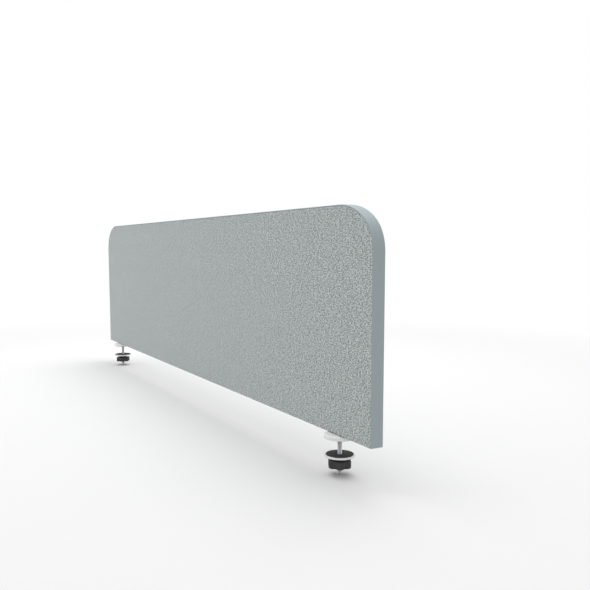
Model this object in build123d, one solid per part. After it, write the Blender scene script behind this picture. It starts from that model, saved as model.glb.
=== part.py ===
"""Acoustic divider screen for two desktops that meet back to back, held by a disc clamp near each end.

Units are millimetres. X runs along the screen, from its far end (-X) to its near end (+X). Y runs through
its thickness, with the front face towards -Y. Z is up. The origin is the middle of the screen, on the
plane where the feet stand on the desktops.
"""

from build123d import *
import math
import os

# The whole screen
screen_length = 1600.0
screen_height = 400.0
screen_thickness = 24.0

# Upper corners: a small arc from the end, then a larger one to the top. The outline turns from upright
# through corner_turn degrees where they meet.
corner_side_radius = 70.0
corner_top_radius = 124.0
corner_turn = 55.0

# Edge trim: a cap with a barbed tongue, pressed into a groove round the frame
trim_cap = 2.5
trim_edge_radius = 1.0
tongue_thickness = 2.4
tongue_depth = 9.0
barb_thickness = 3.2
barb_depth = 0.8
barb_insets = (3.4, 5.6, 7.8)
groove_end_clearance = 0.5

# Cloth covers, with hems turned over the frame's edge
cover_thickness = 1.0
hem_gap = 6.0

# Timber frame
frame_thickness = 16.0
top_rail_height = 45.0
bottom_rail_height = 50.0
end_stile_width = 45.0
middle_stile_width = 40.0
corner_block_size = 110.0

# Dowels, two at each joint of the frame
dowel_diameter = 8.0
dowel_length = 40.0
dowel_spacing = 16.0
dowel_chamfer = 1.0
dowel_fit = 0.05
dowel_end_clearance = 0.5

# Sound-absorbing infill
infill_clearance = 0.5

# Staples in the hems, in two rows
staple_crown = 10.0
staple_wire = 0.6
staple_width = 1.0
staple_leg = 7.0
staple_row_offset = 5.0
staple_pitch = 60.0

# Bottom strips, which close the underside between the brackets
strip_width = 18.0
strip_thickness = 1.5
strip_channel_width = 14.0
strip_channel_depth = 0.8
strip_end_inset = 6.0
strip_relief = 2.0
strip_corner_radius = 1.0

# Brackets
foot_inset = 112.0
desktop_thickness = 28.0
thickest_desktop = 40.0

# Discs and pads. The foot is thicker than the jaw and has a recess for the jam nut in its top.
disc_diameter = 56.0
foot_thickness = 7.5
jaw_thickness = 4.0
foot_crown_radius = 3.0
jaw_crown_radius = 2.5
disc_rim_radius = 0.5
nut_recess_diameter = 17.0
nut_recess_depth = 3.5
pad_diameter = 50.0
pad_thickness = 1.0
pad_bore_clearance = 1.0

# Threaded stud
stud_diameter = 8.0
stud_engagement = 15.0
stud_chamfer = 1.0
thread_clearance = 0.05
slide_clearance = 0.3
socket_width = 4.0
socket_depth = 5.0

# Jam nut and washers
nut_width = 13.0
nut_thickness = 4.0
nut_chamfer = 0.6
washer_diameter = 16.0
washer_thickness = 1.6
washer_bore = 8.4
hem_hole_clearance = 0.5

# Fixing plate in the bottom rail, with its threaded boss and screws
plate_length = 100.0
plate_width = 15.0
plate_thickness = 3.0
plate_corner_radius = 3.0
plate_fit = 0.2
boss_diameter = 11.5
boss_height = 14.0
boss_clearance = 0.25
screw_spacing = 76.0
screw_head_diameter = 8.0
screw_head_height = 2.2
screw_diameter = 4.0
screw_length = 25.0
screw_tip = 4.0
screw_tip_radius = 0.3
screw_fit = 0.05
screw_slot_width = 0.9
screw_slot_length = 4.2
screw_slot_depth = 1.1

# Hand knob with its threaded bush
knob_diameter = 44.0
knob_height = 18.0
knob_hub_diameter = 22.0
knob_hub_height = 4.0
knob_lobes = 6
knob_scallop_radius = 9.0
knob_scallop_depth = 4.0
knob_lobe_radius = 2.0
knob_edge_radius = 1.5
bush_diameter = 13.0
bush_groove_depth = 0.5
bush_groove_width = 2.0
knob_running_gap = 0.05

# How far cutting tools run past the work, and how close an edge must lie to a plane to be picked
overrun = 1.0
pick_distance = 0.01

# Heights of the stack at each foot, from the desktop up to the screen
foot_top = pad_thickness + foot_thickness
nut_low = foot_top - nut_recess_depth
nut_top = nut_low + nut_thickness
frame_low = nut_top + washer_thickness
screen_low = frame_low - cover_thickness
screen_top = screen_low + screen_height

# Outlines of the layers, from the outside in
frame_inset = trim_cap + cover_thickness
frame_half_length = screen_length / 2 - frame_inset
frame_top = screen_top - frame_inset
half_thickness = screen_thickness / 2
half_frame = frame_thickness / 2
bay_low = frame_low + bottom_rail_height
bay_top = frame_top - top_rail_height
bays_half_length = frame_half_length - end_stile_width
bay_length = (2 * bays_half_length - 2 * middle_stile_width) / 3
middle_stile_x = (bay_length + middle_stile_width) / 2

# Heights of the clamp below the desktop. The stud ends where the knob does at its lowest.
foot_x = screen_length / 2 - foot_inset
jaw_pad_top = -desktop_thickness
jaw_disc_low = jaw_pad_top - pad_thickness - jaw_thickness
thrust_low = jaw_disc_low - washer_thickness
knob_top = thrust_low - knob_running_gap
knob_low = knob_top - knob_height
stud_radius = stud_diameter / 2
stud_top = frame_low + stud_engagement
stud_low = knob_low - (thickest_desktop - desktop_thickness)


def slab(face, y_low, y_high):
    """A face drawn as (X, Z), given its thickness from y_low to y_high."""
    return Pos(0, y_high, 0) * extrude(Plane.XZ * face, amount=y_high - y_low, dir=(0, -1, 0))


def box(x_low, x_high, y_low, y_high, z_low, z_high):
    """A box between two corners."""
    size = (x_high - x_low, y_high - y_low, z_high - z_low)
    centre = ((x_low + x_high) / 2, (y_low + y_high) / 2, (z_low + z_high) / 2)
    return Pos(*centre) * Box(*size)


def rod(radius, z_low, z_high, x=0, y=0):
    """An upright cylinder."""
    return Pos(x, y, (z_low + z_high) / 2) * Cylinder(radius, z_high - z_low)


def region(points):
    """A face bounded by straight lines."""
    return make_face(Polyline(*points, close=True))


def turned(points):
    """A solid turned about Z from its half section, given as (radius, height) points."""
    return revolve(Plane.XZ * region(points), axis=Axis.Z)


def rectangle(x_low, x_high, z_low, z_high):
    """A rectangular face between two corners."""
    return Pos((x_low + x_high) / 2, (z_low + z_high) / 2) * Rectangle(x_high - x_low, z_high - z_low)


def screen_face(inset, low):
    """The screen's outline drawn in by inset at the ends and the top, down to the height low."""
    half_length = screen_length / 2 - inset
    top = screen_top - inset
    turn = math.radians(corner_turn)
    apart = corner_top_radius - corner_side_radius
    side_x = screen_length / 2 - corner_side_radius
    top_x = side_x - apart * math.cos(turn)
    top_z = screen_top - corner_top_radius
    side_z = top_z + apart * math.sin(turn)
    near_edges = [
        Line((half_length, low), (half_length, side_z)),
        CenterArc((side_x, side_z), corner_side_radius - inset, 0, corner_turn),
        CenterArc((top_x, top_z), corner_top_radius - inset, corner_turn, 90 - corner_turn),
    ]
    far_edges = [mirror(edge, about=Plane.YZ) for edge in near_edges]
    level_edges = [Line((-half_length, low), (half_length, low)), Line((-top_x, top), (top_x, top))]
    return make_face(near_edges + far_edges + level_edges)


def both_ends(near_shape):
    """A near-end shape and its mirror image at the far end, each with the name of its end."""
    return (("near", near_shape), ("far", mirror(near_shape, about=Plane.YZ)))


def save(name, shape):
    """Writes one node."""
    export_step(shape, f"parts/{name}.step")


def rounded(shape, radius, z):
    """Rounds the edges of a shape that lie in the plane at height z."""
    return fillet(shape.edges().filter_by_position(Axis.Z, z - pick_distance, z + pick_distance), radius)


# Edge trim


def trim_ring(inset_from, inset_to, thickness):
    """A band of the trim that follows the outline, between two insets, centred in the thickness."""
    band = screen_face(inset_from, screen_low) - screen_face(inset_to, screen_low)
    return slab(band, -thickness / 2, thickness / 2)


def edge_trim():
    """The cap round both ends and the top, and its barbed tongue."""
    outer = slab(screen_face(0, screen_low), -half_thickness, half_thickness)
    across = outer.edges().filter_by(Axis.Y)
    bottom_plane = (screen_low - pick_distance, screen_low + pick_distance)
    along_bottom = outer.edges().filter_by_position(Axis.Z, *bottom_plane)
    arrises = [edge for edge in outer.edges() if edge not in across and edge not in along_bottom]
    outer = fillet(arrises, trim_edge_radius)
    reach = half_thickness + overrun
    trim = outer - slab(screen_face(trim_cap, screen_low - overrun), -reach, reach)
    trim += trim_ring(trim_cap, trim_cap + tongue_depth, tongue_thickness)
    for inset in barb_insets:
        trim += trim_ring(trim_cap + inset, trim_cap + inset + barb_depth, barb_thickness)
    return trim


# Cloth covers and foam


def hem_holes():
    """Room in the hems for the seat washer at each bracket."""
    radius = washer_diameter / 2 + hem_hole_clearance
    tools = [rod(radius, screen_low - overrun, frame_low + overrun, side * foot_x) for side in (-1, 1)]
    return tools[0] + tools[1]


def front_cover():
    """The cloth on the front face, with its hems turned over the frame's edge all round."""
    hem_y = -hem_gap / 2
    outer = slab(screen_face(trim_cap, screen_low), -half_thickness, hem_y)
    inner_face = screen_face(trim_cap + cover_thickness, frame_low)
    inner = slab(inner_face, -half_thickness + cover_thickness, hem_y + overrun)
    return outer - inner - hem_holes()


def front_foam():
    """The foam between the front cover and the frame."""
    face = screen_face(frame_inset, frame_low)
    return slab(face, -half_thickness + cover_thickness, -half_frame)


# Timber frame and infill


def dowels(radius, length):
    """Two upright or level cylinders across each joint of the frame."""
    upright = []
    end_x = frame_half_length - end_stile_width / 2
    for x, z in (
        (end_x, bay_low),
        (end_x, frame_top - corner_block_size),
        (middle_stile_x, bay_low),
        (middle_stile_x, bay_top),
    ):
        for side in (-1, 1):
            for step in (-dowel_spacing / 2, dowel_spacing / 2):
                upright.append(rod(radius, z - length / 2, z + length / 2, side * x + step))
    level = []
    for side in (-1, 1):
        x = side * (frame_half_length - corner_block_size)
        for step in (-dowel_spacing / 2, dowel_spacing / 2):
            z = frame_top - top_rail_height / 2 + step
            level.append(Pos(x, 0, z) * Rot(0, 90, 0) * Cylinder(radius, length))
    return upright + level


def frame_dowels():
    """The dowels, with chamfered ends."""
    pins = []
    for pin in dowels(dowel_diameter / 2, dowel_length):
        pins.append(chamfer(pin.edges().filter_by(GeomType.CIRCLE), dowel_chamfer))
    return Compound(pins)


def grooved_frame():
    """The frame's whole outline, solid, with the trim's groove and the dowel holes cut."""
    blank = slab(screen_face(frame_inset, frame_low), -half_frame, half_frame)
    groove_inset = trim_cap + tongue_depth + groove_end_clearance
    around = screen_face(0, frame_low - overrun) - screen_face(groove_inset, frame_low - overrun)
    blank -= slab(around, -barb_thickness / 2, barb_thickness / 2)
    holes = dowels(dowel_diameter / 2 + dowel_fit, dowel_length + 2 * dowel_end_clearance)
    return blank - holes


def frame_member(blank, face):
    """The part of the frame inside a face."""
    return blank & slab(face, -half_thickness, half_thickness)


def corner_block_face():
    """The near corner block, with its inner corner cut from the rail's underside to the stile's side."""
    inner_x = frame_half_length - corner_block_size
    inner_z = frame_top - corner_block_size
    return region([
        (inner_x, frame_top),
        (frame_half_length, frame_top),
        (frame_half_length, inner_z),
        (bays_half_length, inner_z),
        (inner_x, bay_top),
    ])


def outer_bay_face():
    """The near bay, between the middle stile and the near end stile, below the corner block."""
    inner_x = middle_stile_x + middle_stile_width / 2
    return region([
        (inner_x, bay_low),
        (bays_half_length, bay_low),
        (bays_half_length, frame_top - corner_block_size),
        (frame_half_length - corner_block_size, bay_top),
        (inner_x, bay_top),
    ])


def infill(face):
    """A slab of infill that fills a bay with a little room all round."""
    return slab(offset(face, -infill_clearance, kind=Kind.INTERSECTION), -half_frame, half_frame)


# Staples and bottom strips


def staple(x, y):
    """One staple, driven up through the hem into the bottom rail."""
    low = screen_low - staple_wire
    outer = box(x - staple_crown / 2, x + staple_crown / 2, y - staple_width / 2, y + staple_width / 2,
                low, screen_low + staple_leg)
    inner = box(x - staple_crown / 2 + staple_wire, x + staple_crown / 2 - staple_wire,
                y - staple_width, y + staple_width, screen_low, screen_low + staple_leg + overrun)
    return outer - inner


def staple_run(x_low, x_high):
    """The places of a run of staples: both its ends, and between them at most staple_pitch apart."""
    spaces = max(1, math.ceil((x_high - x_low) / staple_pitch))
    return [x_low + index * (x_high - x_low) / spaces for index in range(spaces + 1)]


def cover_staples():
    """Both rows of staples, in a middle run and an end run at each end, clear of the fixing plates."""
    clear_of_plate = plate_length / 2 + staple_crown
    middle_run = staple_run(clear_of_plate - foot_x, foot_x - clear_of_plate)
    near_run = staple_run(foot_x + clear_of_plate, screen_length / 2 - strip_end_inset - staple_crown)
    far_run = [-x for x in near_run]
    rows = (-staple_row_offset, staple_row_offset)
    return [staple(x, y) for x in far_run + middle_run + near_run for y in rows]


def bottom_strip(x_low, x_high):
    """A closing strip with a shallow channel over the staples."""
    low = screen_low - strip_thickness
    strip = box(x_low, x_high, -strip_width / 2, strip_width / 2, low, screen_low)
    upright = strip.edges().filter_by(Axis.Z)
    strip = fillet(upright, strip_corner_radius)
    channel = box(x_low - overrun, x_high + overrun, -strip_channel_width / 2, strip_channel_width / 2,
                  screen_low - strip_channel_depth, screen_low + overrun)
    return strip - channel


# Bracket pieces, drawn on the Z axis and moved to their foot


def disc(flat_z, crown_z, crown_radius):
    """A disc with its flat face at flat_z and its rounded face at crown_z."""
    body = rod(disc_diameter / 2, min(flat_z, crown_z), max(flat_z, crown_z))
    body = rounded(body, crown_radius, crown_z)
    return rounded(body, disc_rim_radius, flat_z)


def foot_disc():
    """The foot, tapped for the stud, with the jam nut's recess."""
    high = foot_top + overrun
    foot = disc(pad_thickness, foot_top, foot_crown_radius)
    return foot - rod(stud_radius + thread_clearance, 0, high) - rod(nut_recess_diameter / 2, nut_low, high)


def jaw_disc():
    """The jaw, which slides on the stud."""
    low = jaw_disc_low - overrun
    jaw = disc(jaw_pad_top - pad_thickness, jaw_disc_low, jaw_crown_radius)
    return jaw - rod(stud_radius + slide_clearance, low, jaw_pad_top)


def pad(z_low):
    """The thin pad between a disc and the desktop."""
    bore = stud_radius + pad_bore_clearance
    z_high = z_low + pad_thickness
    return rod(pad_diameter / 2, z_low, z_high) - rod(bore, z_low - overrun, z_high + overrun)


def washer(z_low):
    """A plain washer."""
    z_high = z_low + washer_thickness
    bore = rod(washer_bore / 2, z_low - overrun, z_high + overrun)
    return rod(washer_diameter / 2, z_low, z_high) - bore


def jam_nut():
    """The thin hexagon nut that locks the foot on the stud, with both ends chamfered."""
    corner = nut_width / 2 / math.cos(math.pi / 6)
    hexagon = extrude(RegularPolygon(nut_width / 2, 6, major_radius=False), nut_thickness)
    taper = turned([
        (0, 0),
        (corner - 2 * nut_chamfer, 0),
        (corner, nut_chamfer),
        (corner, nut_thickness - nut_chamfer),
        (corner - 2 * nut_chamfer, nut_thickness),
        (0, nut_thickness),
    ])
    bore = rod(stud_radius + thread_clearance, -overrun, nut_thickness + overrun)
    return Pos(0, 0, nut_low) * ((hexagon & taper) - bore)


def stud():
    """The threaded stud, with a hexagon socket in its lower end."""
    bar = rod(stud_radius, stud_low, stud_top)
    bar = chamfer(bar.edges().filter_by(GeomType.CIRCLE), stud_chamfer)
    socket = extrude(RegularPolygon(socket_width / 2, 6, major_radius=False), socket_depth)
    return bar - Pos(0, 0, stud_low) * socket


def plate_blank(extra, z_low, z_high):
    """The fixing plate's outline, larger by extra all round."""
    size = (plate_length + 2 * extra, plate_width + 2 * extra)
    face = RectangleRounded(*size, plate_corner_radius)
    return Pos(0, 0, z_low) * extrude(face, z_high - z_low)


def plate_notch():
    """The notch across the bottom rail that takes the fixing plate."""
    half_notch = plate_length / 2 + plate_fit
    return box(-half_notch, half_notch, -half_frame - overrun, half_frame + overrun,
               frame_low - overrun, frame_low + plate_thickness)


def screws(extra):
    """The plate's countersunk screws with their blunt tips, thicker by extra."""
    profile = [
        (0, frame_low),
        (screw_head_diameter / 2 + extra, frame_low),
        (screw_diameter / 2 + extra, frame_low + screw_head_height),
        (screw_diameter / 2 + extra, frame_low + screw_length - screw_tip),
        (screw_tip_radius + extra, frame_low + screw_length + extra),
        (0, frame_low + screw_length + extra),
    ]
    return [Pos(side * screw_spacing / 2, 0, 0) * turned(profile) for side in (-1, 1)]


def plate_screws():
    """The screws with their cross slots."""
    slotted = []
    for screw, side in zip(screws(0), (-1, 1)):
        x = side * screw_spacing / 2
        for width, length in ((screw_slot_width, screw_slot_length), (screw_slot_length, screw_slot_width)):
            screw -= box(x - width / 2, x + width / 2, -length / 2, length / 2,
                         frame_low - overrun, frame_low + screw_slot_depth)
        slotted.append(screw)
    return Compound(slotted)


def fixing_plate():
    """The steel plate that lies flush in the bottom rail."""
    plate = plate_blank(0, frame_low, frame_low + plate_thickness)
    plate -= rod(washer_bore / 2, frame_low - overrun, frame_low + plate_thickness + overrun)
    return plate - screws(screw_fit)


def threaded_boss():
    """The boss welded on the plate, which takes the stud."""
    low = frame_low + plate_thickness
    high = low + boss_height
    bore = rod(stud_radius + thread_clearance, low - overrun, high + overrun)
    return rod(boss_diameter / 2, low, high) - bore


def boss_hole():
    """Room in the bottom rail for the boss."""
    high = frame_low + plate_thickness + boss_height + boss_clearance
    return rod(boss_diameter / 2 + boss_clearance, frame_low, high)


def bush():
    """The knob's threaded bush, with a groove that keys it in the moulding."""
    groove_low = (knob_low + knob_top - bush_groove_width) / 2
    groove_high = groove_low + bush_groove_width
    upper = rod(bush_diameter / 2, groove_high, knob_top)
    lower = rod(bush_diameter / 2, knob_low, groove_low)
    return upper + lower + rod(bush_diameter / 2 - bush_groove_depth, groove_low, groove_high)


def hand_knob():
    """The lobed hand knob: a round hub that bears on the washer, above a scalloped grip."""
    outline = Circle(knob_diameter / 2)
    scallop_x = knob_diameter / 2 - knob_scallop_depth + knob_scallop_radius
    for index in range(knob_lobes):
        outline -= Rot(0, 0, index * 360 / knob_lobes) * Pos(scallop_x, 0) * Circle(knob_scallop_radius)
    outline = fillet(outline.vertices(), knob_lobe_radius)
    grip_top = knob_top - knob_hub_height
    grip = Pos(0, 0, knob_low) * extrude(outline, grip_top - knob_low)
    grip = rounded(grip, knob_edge_radius, knob_low)
    grip = rounded(grip, knob_edge_radius, grip_top)
    knob = grip + rod(knob_hub_diameter / 2, grip_top, knob_top)
    return knob - bush()


def knob_bush():
    """The bush, bored for the stud."""
    return bush() - rod(stud_radius + thread_clearance, knob_low - overrun, knob_top + overrun)


os.makedirs("parts", exist_ok=True)

bracket_pieces = {
    "fixing_plate": fixing_plate(),
    "threaded_boss": threaded_boss(),
    "plate_screws": plate_screws(),
    "seat_washer": washer(nut_top),
    "jam_nut": jam_nut(),
    "stud": stud(),
    "foot_disc": foot_disc(),
    "foot_pad": pad(0),
    "jaw_pad": pad(jaw_pad_top - pad_thickness),
    "jaw_disc": jaw_disc(),
    "thrust_washer": washer(thrust_low),
    "hand_knob": hand_knob(),
    "knob_bush": knob_bush(),
}
for piece_name, piece in bracket_pieces.items():
    save(f"near_{piece_name}", Pos(foot_x, 0, 0) * piece)
    save(f"far_{piece_name}", Pos(-foot_x, 0, 0) * piece)

staples = cover_staples()
save("cover_staples", Compound(staples))
save("edge_trim", edge_trim())

stapled_front = front_cover() - staples
save("front_cover", stapled_front)
save("back_cover", mirror(stapled_front, about=Plane.XZ))
save("front_foam", front_foam())
save("back_foam", mirror(front_foam(), about=Plane.XZ))

frame = grooved_frame()
save("frame_dowels", frame_dowels())
save("top_rail", frame_member(frame, rectangle(
    corner_block_size - frame_half_length, frame_half_length - corner_block_size, bay_top, frame_top)))

bottom_rail_face = rectangle(-frame_half_length, frame_half_length, frame_low, bay_low)
bottom_rail = frame_member(frame, bottom_rail_face)
for side in (-1, 1):
    at_foot = Pos(side * foot_x, 0, 0)
    bottom_rail -= at_foot * plate_notch()
    bottom_rail -= at_foot * boss_hole()
    bottom_rail -= [at_foot * screw for screw in screws(screw_fit)]
save("bottom_rail", bottom_rail - staples)

end_stile = frame_member(frame, rectangle(
    bays_half_length, frame_half_length, bay_low, frame_top - corner_block_size))
middle_stile_sides = (middle_stile_x - middle_stile_width / 2, middle_stile_x + middle_stile_width / 2)
middle_stile = frame_member(frame, rectangle(*middle_stile_sides, bay_low, bay_top))
corner_block = frame_member(frame, corner_block_face())
outer_infill = infill(outer_bay_face())

strip_gap = disc_diameter / 2 + strip_relief
outer_strip = bottom_strip(foot_x + strip_gap, screen_length / 2 - strip_end_inset)

for name, near_piece in (
    ("end_stile", end_stile),
    ("middle_stile", middle_stile),
    ("corner_block", corner_block),
    ("infill", outer_infill),
    ("bottom_strip", outer_strip),
):
    for end, piece in both_ends(near_piece):
        save(f"{end}_{name}", piece)
save("middle_infill", infill(rectangle(-bay_length / 2, bay_length / 2, bay_low, bay_top)))
save("middle_bottom_strip", bottom_strip(strip_gap - foot_x, foot_x - strip_gap))
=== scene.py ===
"""The finished look of an acoustic divider screen, built round its packed construction model.

Lengths are metres, in the model's own frame: X along the screen towards its near end, Y through its thickness
with the front face towards -Y, Z up, and the plane where the feet stand at Z = 0. Names that end in _mm are
in millimetres, the unit of the finishes' patterns.
"""

import logging
import math
from collections.abc import Callable, Mapping
from dataclasses import dataclass
from enum import Enum

import bmesh
import bpy
import numpy as np
from mathutils import Matrix, Vector


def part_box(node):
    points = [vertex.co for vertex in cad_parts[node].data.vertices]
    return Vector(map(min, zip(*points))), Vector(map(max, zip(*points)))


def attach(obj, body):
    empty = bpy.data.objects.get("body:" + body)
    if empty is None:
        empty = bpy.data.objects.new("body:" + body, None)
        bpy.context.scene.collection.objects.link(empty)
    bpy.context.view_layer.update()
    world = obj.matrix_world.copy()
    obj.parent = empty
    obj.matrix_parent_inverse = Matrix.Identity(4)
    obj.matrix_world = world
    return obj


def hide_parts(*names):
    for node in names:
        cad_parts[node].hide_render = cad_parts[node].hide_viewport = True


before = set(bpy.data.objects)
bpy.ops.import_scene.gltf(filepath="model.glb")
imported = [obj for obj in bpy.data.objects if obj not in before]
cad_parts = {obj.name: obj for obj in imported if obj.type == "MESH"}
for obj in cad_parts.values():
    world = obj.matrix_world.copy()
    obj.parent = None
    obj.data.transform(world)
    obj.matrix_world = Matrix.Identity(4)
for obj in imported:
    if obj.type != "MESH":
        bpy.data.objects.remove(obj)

log = logging.getLogger("divider_screen")

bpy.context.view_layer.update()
MM = 0.001
TINY = 1e-6
SHARP_ANGLE = math.radians(35.0)
TURNED_ANGLES = 128

# Each ripple's share of the longest span, its turn in radians and its weight. Along Z the ripples lie less
# close together than along X, by the factor RIPPLE_RISE.
RIPPLES = ((1.0, 0.4, 0.5), (0.57, 1.7, 0.3), (0.31, 2.9, 0.2))
RIPPLE_RISE = 0.8

Array = np.ndarray
Triple = tuple[float, float, float]
Colour = Triple
NODES: dict[str, bpy.types.Object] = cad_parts


# Shader building


class Wire:
    """An output socket that takes part in Python arithmetic. Each operator adds one Math node."""

    def __init__(self, shader: "Shader", socket: bpy.types.NodeSocket | None) -> None:
        """Starts the wire at a socket.

        Args:
            shader: the builder of the tree that the wire is in.
            socket: the output that the wire starts from, or None where its node has no output.
        """
        self.shader = shader
        self.socket = socket

    def _math(self, operation: str, *others: "Wire | float", swapped: bool = False) -> "Wire":
        """Adds a Math node with this wire as one of its operands.

        Args:
            operation: the node's operation.
            others: the other operands.
            swapped: puts this wire after the first of them.

        Returns:
            The result.
        """
        operands = [self, *others]
        if swapped:
            operands[0], operands[1] = operands[1], operands[0]
        return self.shader.node("ShaderNodeMath", {"operation": operation}, dict(enumerate(operands)))

    def __add__(self, other: "Wire | float") -> "Wire":
        """The sum."""
        return self._math("ADD", other)

    __radd__ = __add__

    def __mul__(self, other: "Wire | float") -> "Wire":
        """The product."""
        return self._math("MULTIPLY", other)

    __rmul__ = __mul__

    def __sub__(self, other: "Wire | float") -> "Wire":
        """The difference."""
        return self._math("SUBTRACT", other)

    def __rsub__(self, other: float) -> "Wire":
        """The difference from a number."""
        return self._math("SUBTRACT", other, swapped=True)

    def __truediv__(self, other: "Wire | float") -> "Wire":
        """The quotient."""
        return self._math("DIVIDE", other)

    def floor(self) -> "Wire":
        """The whole number below."""
        return self._math("FLOOR")

    def hump(self) -> "Wire":
        """Half a sine wave, from 0 to 1 and back, over each whole step."""
        return (self._math("FRACT") * math.pi)._math("SINE")

    def greatest(self, other: "Wire | float") -> "Wire":
        """The greater of the two."""
        return self._math("MAXIMUM", other)

    def ramp(self, low: float, high: float) -> "Wire":
        """Rises smoothly from 0 at low to 1 at high."""
        inputs = {"Value": self, "From Min": low, "From Max": high}
        return self.shader.node("ShaderNodeMapRange", {"interpolation_type": "SMOOTHSTEP"}, inputs)


class Shader:
    """Builds the node tree of one material or world."""

    def __init__(self, owner: bpy.types.Material | bpy.types.World) -> None:
        """Empties the owner's node tree.

        Args:
            owner: the new material or world.
        """
        owner.use_nodes = True
        self.owner = owner
        self.tree = owner.node_tree
        self.tree.nodes.clear()

    def node(
        self,
        kind: str,
        settings: Mapping[str, object] | None = None,
        inputs: Mapping[str | int, object] | None = None,
        output: str | int = 0,
    ) -> Wire:
        """Adds a node.

        Args:
            kind: the node's type.
            settings: its own properties, set first.
            inputs: the value or wire of each socket, by name or number.
            output: the output that the wire starts from.

        Returns:
            A wire from that output, or from nothing where the node has none.
        """
        made = self.tree.nodes.new(kind)
        for key, value in (settings or {}).items():
            setattr(made, key, value)
        for key, value in (inputs or {}).items():
            if isinstance(value, Wire):
                self.tree.links.new(value.socket, made.inputs[key])
            else:
                made.inputs[key].default_value = value
        return Wire(self, made.outputs[output] if made.outputs else None)

    def vector(self, operation: str, *operands: Wire | Triple, output: str = "Vector") -> Wire:
        """A Vector Math node's result."""
        return self.node("ShaderNodeVectorMath", {"operation": operation}, dict(enumerate(operands)), output)

    def place(self, stretch: Triple = (1.0, 1.0, 1.0)) -> Wire:
        """The surface point in millimetres, multiplied by stretch along each axis."""
        coordinates = self.node("ShaderNodeTexCoord", output="Object")
        inputs = {"Vector": coordinates, "Scale": tuple(each / MM for each in stretch)}
        return self.node("ShaderNodeMapping", {"vector_type": "POINT"}, inputs)

    def axes(self, vector: Wire) -> tuple[Wire, Wire, Wire]:
        """A vector's three parts."""
        split = self.node("ShaderNodeSeparateXYZ", inputs={0: vector})
        return tuple(Wire(self, socket) for socket in split.socket.node.outputs)

    def join(self, x: Wire | float, y: Wire | float, z: Wire | float) -> Wire:
        """A vector of three parts."""
        return self.node("ShaderNodeCombineXYZ", inputs={0: x, 1: y, 2: z})

    def noise(self, at: Wire, size: float, detail: float = 2.0, rough: float = 0.5,
              output: str = "Fac") -> Wire:
        """Smooth noise from 0 to 1 whose features are about size across, in the units of at."""
        inputs = {"Vector": at, "Scale": 1.0 / size, "Detail": detail, "Roughness": rough}
        return self.node("ShaderNodeTexNoise", {"noise_dimensions": "3D"}, inputs, output)

    def cells(self, at: Wire, size: float, feature: str = "F1", output: str = "Distance") -> Wire:
        """Cellular texture whose cells are about size across, in the units of at."""
        inputs = {"Vector": at, "Scale": 1.0 / size}
        return self.node("ShaderNodeTexVoronoi", {"feature": feature}, inputs, output)

    def chance(self, x: Wire | float, y: Wire | float, seed: float) -> Wire:
        """An unrelated number from 0 to 1 for each different x and y."""
        inputs = {"Vector": self.join(x, y, seed)}
        return self.node("ShaderNodeTexWhiteNoise", {"noise_dimensions": "3D"}, inputs)

    def blend(self, factor: Wire | float, first: Wire | Colour, second: Wire | Colour) -> Wire:
        """A colour mixed from first to second as factor goes from 0 to 1."""
        values = [value if isinstance(value, Wire) else (*value, 1.0) for value in (first, second)]
        inputs = {0: factor, 6: values[0], 7: values[1]}
        return self.node("ShaderNodeMix", {"data_type": "RGBA", "clamp_factor": True}, inputs, 2)

    def mix(self, factor: Wire, first: Wire | float, second: Wire | float) -> Wire:
        """A number mixed from first to second as factor goes from 0 to 1."""
        inputs = {0: factor, 2: first, 3: second}
        return self.node("ShaderNodeMix", {"data_type": "FLOAT", "clamp_factor": True}, inputs)

    def tint(self, colour: Wire, factor: Wire) -> Wire:
        """A colour made lighter or darker by a factor near 1."""
        grey = self.join(factor, factor, factor)
        settings = {"data_type": "RGBA", "blend_type": "MULTIPLY", "clamp_factor": True}
        return self.node("ShaderNodeMix", settings, {0: 1.0, 6: colour, 7: grey}, 2)

    def raised(self, height: Wire, depth: float, under: Wire | None = None) -> Wire:
        """Fine relief, as a normal.

        Args:
            height: the relief's height, from 0 to 1.
            depth: what a height of 1 stands for, in metres.
            under: the normal of what the relief lies on, or None for the bare surface.

        Returns:
            The normal.
        """
        inputs: dict[str | int, object] = {"Height": height, "Distance": depth, "Strength": 1.0}
        if under is not None:
            inputs["Normal"] = under
        return self.node("ShaderNodeBump", inputs=inputs)

    def finish(self, **sockets: object) -> bpy.types.Material:
        """Closes the material with a Principled shader.

        Args:
            sockets: its values and wires, by socket name with underscores for spaces.

        Returns:
            The material.
        """
        inputs = {name.replace("_", " "): value for name, value in sockets.items()}
        surface = self.node("ShaderNodeBsdfPrincipled", inputs=inputs)
        self.node("ShaderNodeOutputMaterial", inputs={"Surface": surface})
        return self.owner


def new_shader(name: str, stretch: Triple = (1.0, 1.0, 1.0)) -> tuple[Shader, Wire]:
    """A new material's builder, and the surface point in millimetres, multiplied by stretch."""
    shader = Shader(bpy.data.materials.new(name))
    return shader, shader.place(stretch)


# Finishes

# The numbers in a finish's sums are each pattern's share in the colour, the roughness or the height. After a
# noise's size come its detail and the roughness of that detail.


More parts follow.
